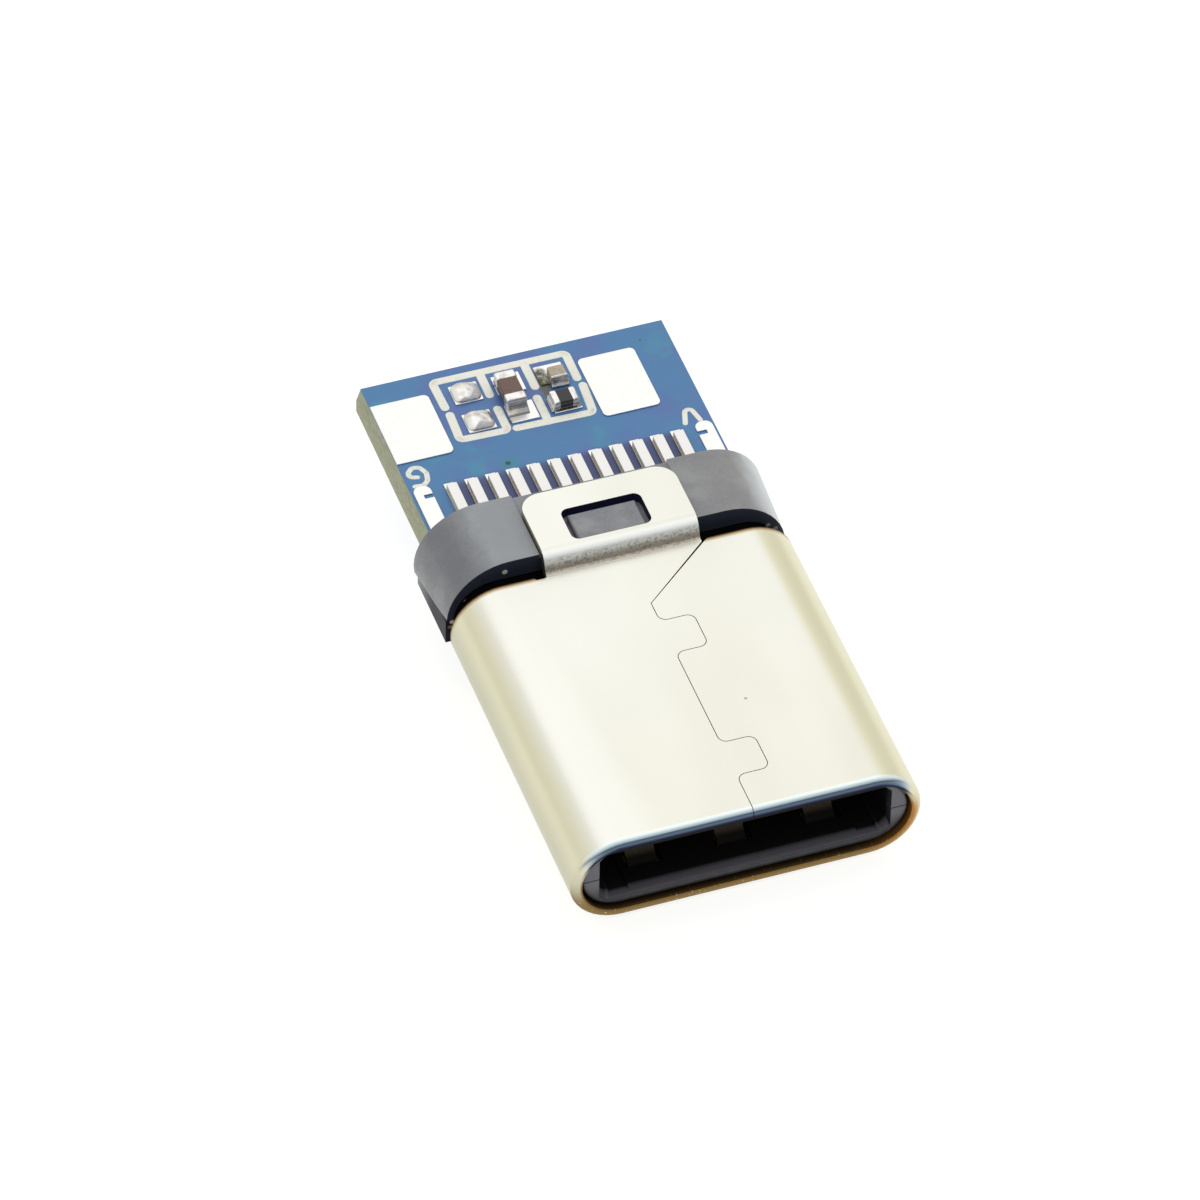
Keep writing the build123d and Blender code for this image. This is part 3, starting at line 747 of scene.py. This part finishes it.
def slump(across, along):
    # the share of the full height that the solder keeps at a place of its pad
    ridge = math.exp(-((across + 0.12) / 0.34) ** 2)
    return 0.42 + 0.58 * ridge * (0.72 + 0.56 * min(max(along + 0.15, 0.0), 0.5))


def solderHeap(nodeName):
    # a dome inside the node's box, drawn up to a ridge on its left and slumped towards
    # the front right
    low, high = boxMm(nodeName)
    middle = (low + high) / 2
    width, length, height = high - low
    rings = []
    for layer in range(heap["layers"]):
        turn = math.pi / 2 * layer / heap["layers"]
        inset = 2 * (1 - math.cos(turn)) * heap["crown"]
        ring = roundedRing(middle, width - inset, length - inset, heap["corner"], low.z)
        rise = height * math.sin(turn)
        rings.append([
            (x, y, bottom + rise * slump((x - middle.x) / width, (y - middle.y) / length))
            for x, y, bottom in ring
        ])
    piece = addPiece(nodeName + "_dome", ringLoft(rings))
    return settle(piece, finishes["solder"], "solder", nodeName)


for place in ("rear_left", "front_left"):
    solderHeap("solder_" + place)


# "along" is the axis from end to end, and "rise" how far the ends stand out
smallParts = {
    "capacitor": {"along": 1, "endShare": 0.26, "rise": 0.012, "slot": "capacitor_ceramic"},
    "resistor": {"along": 0, "endShare": 0.28, "rise": 0.01, "slot": "resistor_body"},
    "diode": {"along": 1, "endShare": 0.24, "rise": 0.012, "slot": "diode_body"},
}
# how far the solder spreads on to the pad at each end, and how high it climbs
fillets = {
    "capacitor": (("front", 0.17, 0.8), ("rear", 0.08, 0.7)),
    "resistor": (("front", 0.06, 0.6), ("rear", 0.06, 0.6)),
    "diode": (("front", 0.10, 0.7),),
}


bodyEdge, capEdge = 0.035, 0.045
cornerSteps = 4


def chipBlock(name, low, high, edge, slotName, *replaced):
    middle = (low + high) / 2
    width, length, height = high - low
    rings = [
        roundedRing(middle, width - 2 * inset, length - 2 * inset, edge, z, cornerSteps)
        for inset, z in (
            (edge, low.z), (0, low.z + edge), (0, high.z - edge),
            (0.3 * edge, high.z - 0.3 * edge), (edge, high.z),
        )
    ]
    piece = addPiece(name, ringLoft(rings))
    piece.modifiers.new("evenShading", "WEIGHTED_NORMAL")
    return settle(piece, finishes[slotName], slotName, *replaced)


fillet = {"layers": 7, "sink": 0.03, "corner": 0.04, "footShare": 1.06, "topShare": 0.9}


def solderFillet(name, low, high, axis, outward, reach, climb):
    # a hollow slope of solder from the end of a part down to its pad, sunk a little
    # into the end
    other = 1 - axis
    face = high[axis] if outward > 0 else low[axis]
    rings = []
    for layer in range(fillet["layers"] + 1):
        share = layer / fillet["layers"]
        spread = reach * (1 - share) ** 2
        wide = fillet["footShare"] + (fillet["topShare"] - fillet["footShare"]) * share
        centre, size = [0.0, 0.0], [0.0, 0.0]
        centre[axis] = face + outward * (spread / 2 - fillet["sink"])
        centre[other] = (low[other] + high[other]) / 2
        size[axis] = spread + 2 * fillet["sink"]
        size[other] = (high[other] - low[other]) * wide
        level = low.z + share * climb * (high.z - low.z)
        rings.append(roundedRing(centre, *size, fillet["corner"], level, cornerSteps))
    piece = addPiece(name, ringLoft(rings))
    return settle(piece, finishes["solder"], "solder")


for partName, part in smallParts.items():
    low, high = boxMm(partName)
    axis = part["along"]
    bodyLow, bodyHigh = low.copy(), high.copy()
    bodyHigh.z -= part["rise"]
    for way in (0, 1):
        bodyLow[way] += part["rise"]
        bodyHigh[way] -= part["rise"]
    chipBlock(partName + "_body", bodyLow, bodyHigh, bodyEdge, part["slot"], partName)
    endLength = part["endShare"] * (high[axis] - low[axis])
    for end, reach, climb in fillets[partName]:
        capLow, capHigh = low.copy(), high.copy()
        if end == "front":
            outward = -1
            capHigh[axis] = low[axis] + endLength
        else:
            outward = 1
            capLow[axis] = high[axis] - endLength
        chipBlock(partName + "_end_" + end, capLow, capHigh, capEdge, "solder")
        solderFillet(partName + "_solder_" + end, low, high, axis, outward, reach, climb)
print("small parts made:", len(smallParts))


# Printed ink: rounded strokes made from lines by one Geometry Nodes tree

ink = {
    "lineWidth": 0.21, "height": 0.012, "cornerRadius": 0.10, "roundSteps": 6,
    "letterWidth": 0.125, "letterCorner": 0.1, "circleSteps": 16, "ballRings": 8,
}
brackets = (
    ((-2.04, 14.91), (-2.06, 15.79), (1.19, 15.77), (1.18, 14.89)),
    ((-0.92, 15.78), (-0.92, 14.99)),
    ((0.16, 15.77), (0.16, 14.92)),
    ((-2.01, 14.65), (-2.05, 13.80), (-0.90, 13.76), (-0.90, 14.50)),
    ((-0.68, 13.76), (1.16, 13.71), (1.23, 14.63)),
    ((0.08, 13.73), (0.08, 14.56)),
)
# the two terminal marks, each a place and a stroke drawn as it is read from the rear
letters = {
    "G": ((-3.34, 12.96), (
        (0.18, 0.29), (-0.03, 0.31), (-0.16, 0.19), (-0.21, -0.05), (-0.11, -0.27),
        (0.06, -0.31), (0.19, -0.18), (0.21, -0.03), (0.03, 0.02),
    )),
    "V": ((3.24, 13.03), ((0.19, 0.35), (-0.03, -0.36), (-0.18, 0.34))),
}


def inkTree():
    tree = bpy.data.node_groups.new("printedInk", "GeometryNodeTree")
    for name, kind, way in (
        ("Lines", "Geometry", "INPUT"), ("Line width", "Float", "INPUT"),
        ("Corner radius", "Float", "INPUT"), ("Ink height", "Float", "INPUT"),
        ("Board top", "Float", "INPUT"), ("Ink", "Material", "INPUT"),
        ("Print", "Geometry", "OUTPUT"),
    ):
        tree.interface.new_socket(name, in_out=way, socket_type="NodeSocket" + kind)
    given = addNode(tree, "NodeGroupInput").outputs
    rounded = addNode(tree, "GeometryNodeFilletCurve", {
        "Curve": given["Lines"], "Radius": given["Corner radius"], "Count": ink["roundSteps"],
        "Limit Radius": True,
    }, mode="POLY")
    radius = addNode(tree, "ShaderNodeMath", {0: given["Line width"], 1: 0.5}, operation="MULTIPLY")
    circle = addNode(tree, "GeometryNodeCurvePrimitiveCircle", {
        "Resolution": ink["circleSteps"], "Radius": radius.outputs[0],
    })
    strokes = addNode(tree, "GeometryNodeCurveToMesh", {
        "Curve": rounded.outputs[0], "Profile Curve": circle.outputs[0], "Fill Caps": True,
    })
    ball = addNode(tree, "GeometryNodeMeshUVSphere", {
        "Segments": ink["circleSteps"], "Rings": ink["ballRings"], "Radius": radius.outputs[0],
    })
    points = addNode(tree, "GeometryNodeCurveToPoints", {
        "Curve": rounded.outputs[0],
    }, mode="EVALUATED")
    onEnds = addNode(tree, "GeometryNodeInstanceOnPoints", {
        "Points": points.outputs[0], "Instance": ball.outputs[0],
    })
    whole = addNode(tree, "GeometryNodeJoinGeometry")
    tree.links.new(strokes.outputs[0], whole.inputs[0])
    tree.links.new(onEnds.outputs[0], whole.inputs[0])
    real = addNode(tree, "GeometryNodeRealizeInstances", {0: whole.outputs[0]})
    # flattened on to the board, to the thickness of a coat of ink
    where = addNode(tree, "GeometryNodeInputPosition")
    parts = addNode(tree, "ShaderNodeSeparateXYZ", {0: where.outputs[0]}).outputs
    thin = addNode(tree, "ShaderNodeMath", {
        0: given["Ink height"], 1: radius.outputs[0],
    }, operation="DIVIDE")
    level = addNode(tree, "ShaderNodeMath", {
        0: parts[2], 1: thin.outputs[0], 2: given["Board top"],
    }, operation="MULTIPLY_ADD")
    flat = addNode(tree, "ShaderNodeCombineXYZ", {0: parts[0], 1: parts[1], 2: level.outputs[0]})
    pressed = addNode(tree, "GeometryNodeSetPosition", {
        "Geometry": real.outputs[0], "Position": flat.outputs[0],
    })
    inked = addNode(tree, "GeometryNodeSetMaterial", {
        "Geometry": pressed.outputs[0], "Material": given["Ink"],
    })
    addNode(tree, "NodeGroupOutput", {0: inked.outputs[0]})
    return tree


def printLines(name, lines, width, corner, finish):
    curve = bpy.data.curves.new(name, "CURVE")
    curve.dimensions = "3D"
    for line in lines:
        spline = curve.splines.new("POLY")
        spline.points.add(len(line) - 1)
        for point, (x, y) in zip(spline.points, line):
            point.co = (x, y, 0, 1)
    holder = bpy.data.objects.new(name + "_lines", curve)
    scene.collection.objects.link(holder)
    modifier = holder.modifiers.new("printedInk", "NODES")
    modifier.node_group = inkNodes
    sockets = {item.name: item.identifier for item in inkNodes.interface.items_tree}
    modifier[sockets["Line width"]] = width
    modifier[sockets["Corner radius"]] = corner
    modifier[sockets["Ink height"]] = ink["height"]
    modifier[sockets["Board top"]] = boardTop
    modifier[sockets["Ink"]] = finish
    graph = bpy.context.evaluated_depsgraph_get()
    mesh = bpy.data.meshes.new_from_object(holder.evaluated_get(graph))
    bpy.data.objects.remove(holder)
    piece = bpy.data.objects.new(name, mesh)
    scene.collection.objects.link(piece)
    for polygon in mesh.polygons:
        polygon.use_smooth = True
    return settle(piece, finish, "blue_board")


inkNodes = inkTree()
inkFinish = silkInk()
printLines("footprint_outlines", brackets, ink["lineWidth"], ink["cornerRadius"], inkFinish)
for letter, ((x, y), stroke) in letters.items():
    turned = [(x - across, y - along) for across, along in stroke]
    printLines("mark_" + letter, [turned], ink["letterWidth"], ink["letterCorner"], inkFinish)
print("print on the board made")


# Light, floor and camera. The box's and the floor's sizes are in metres, and where the
# plug touches the floor in millimetres

studio = {
    "overhead": "#ffffff", "overheadLight": 0.95, "horizon": "#f6f4ea", "horizonLight": 0.92,
    "front": "#48526a", "frontLight": 0.34, "boxLight": 0.32, "boxSize": 0.6,
    "boxPlace": (0.02, 0.16, 0.42), "boxTarget": (0, 0.008, 0),
    "floor": "#8c8c8b", "glow": "#fdfdfb", "floorGlow": 0.84, "floorRoughness": 0.9,
    "floorSize": 3.0, "lip": (0, 0.10, -1.2), "tab": (0, 8.95, -1.68), "gap": 0.01,
}


def studioWorld():
    # a pale room: white overhead and behind, a little warmer at the horizon and dark
    # blue low in front, where the photographer stands
    world = bpy.data.worlds.new("studio")
    scene.world = world
    world.use_nodes = True
    tree = world.node_tree
    tree.nodes.clear()
    coords = addNode(tree, "ShaderNodeTexCoord")
    way = measure(coords.outputs["Generated"])
    high = fade(way.z, 0.02, 0.5)
    front = overlap(fade(way.y, -0.15, -0.6), fade(way.z, 0.55, 0.15))
    colour = paint(studio["horizon"], studio["overhead"], high)
    colour = paint(colour, studio["front"], front)
    room = addNode(tree, "ShaderNodeMix", {
        0: high, 2: studio["horizonLight"], 3: studio["overheadLight"],
    })
    strength = addNode(tree, "ShaderNodeMix", {
        0: front, 2: room.outputs[0], 3: studio["frontLight"],
    })
    sky = addNode(tree, "ShaderNodeBackground", {
        "Color": colour, "Strength": strength.outputs[0],
    })
    addNode(tree, "ShaderNodeOutputWorld", {"Surface": sky.outputs[0]})


def softBox(name, place, target, size, radiance):
    light = bpy.data.lights.new(name, "AREA")
    light.shape = "SQUARE"
    light.size = size
    light.energy = radiance * math.pi * size ** 2
    lamp = bpy.data.objects.new(name, light)
    scene.collection.objects.link(lamp)
    lamp.location = place
    lamp.rotation_euler = (Vector(place) - Vector(target)).to_track_quat("Z", "Y").to_euler()


def paleFloor():
    # an opal sheet lit from below, which leaves the photograph's floor almost without
    # shadow; the plug leans on its lower tab and on the lower lip of its mouth
    lip, tab = Vector(studio["lip"]), Vector(studio["tab"])
    slope = math.atan2(tab.z - lip.z, tab.y - lip.y)
    below = (lip - Vector((0, 0, studio["gap"]))) * mm
    bm = bmesh.new()
    bmesh.ops.create_grid(bm, x_segments=1, y_segments=1, size=studio["floorSize"])
    bm.transform(Matrix.Translation(below) @ Matrix.Rotation(slope, 4, "X"))
    mesh = bpy.data.meshes.new("floor")
    bm.to_mesh(mesh)
    bm.free()
    floor = bpy.data.objects.new("floor", mesh)
    scene.collection.objects.link(floor)
    material = bpy.data.materials.new("opalSheet")
    material.use_nodes = True
    opal = material.node_tree.nodes["Principled BSDF"]
    opal.inputs["Base Color"].default_value = hexToLinear(studio["floor"])
    opal.inputs["Roughness"].default_value = studio["floorRoughness"]
    opal.inputs["Emission Color"].default_value = hexToLinear(studio["glow"])
    opal.inputs["Emission Strength"].default_value = studio["floorGlow"]
    mesh.materials.append(material)


studioWorld()
softBox(
    "topBox", studio["boxPlace"], studio["boxTarget"], studio["boxSize"], studio["boxLight"],
)
paleFloor()

# the photograph's view, fitted to the marks of the plug
view = {
    "azimuth": -20.289, "elevation": 45.15, "roll": 1.35, "distance": 203.534,
    "target": (-1.783, 5.0, 3.595), "lens": 276.04,
}


def photoCamera():
    azimuth, elevation = math.radians(view["azimuth"]), math.radians(view["elevation"])
    back = Vector((
        math.sin(azimuth) * math.cos(elevation), -math.cos(azimuth) * math.cos(elevation),
        math.sin(elevation),
    ))
    level = (-back).cross(Vector((0, 0, 1))).normalized()
    upright = level.cross(-back)
    roll = math.radians(view["roll"])
    right = level * math.cos(roll) + upright * math.sin(roll)
    up = upright * math.cos(roll) - level * math.sin(roll)
    data = bpy.data.cameras.new("camera")
    data.sensor_width = data.sensor_height = 36
    data.sensor_fit = "HORIZONTAL"
    data.lens = view["lens"]
    data.clip_start, data.clip_end = 0.01, 10
    camera = bpy.data.objects.new("camera", data)
    scene.collection.objects.link(camera)
    turned = Matrix((right, up, back)).transposed().to_4x4()
    place = (Vector(view["target"]) + back * view["distance"]) * mm
    camera.matrix_world = Matrix.Translation(place) @ turned
    scene.camera = camera


photoCamera()
scene.view_settings.view_transform = "Standard"
print("floor, light and camera made")
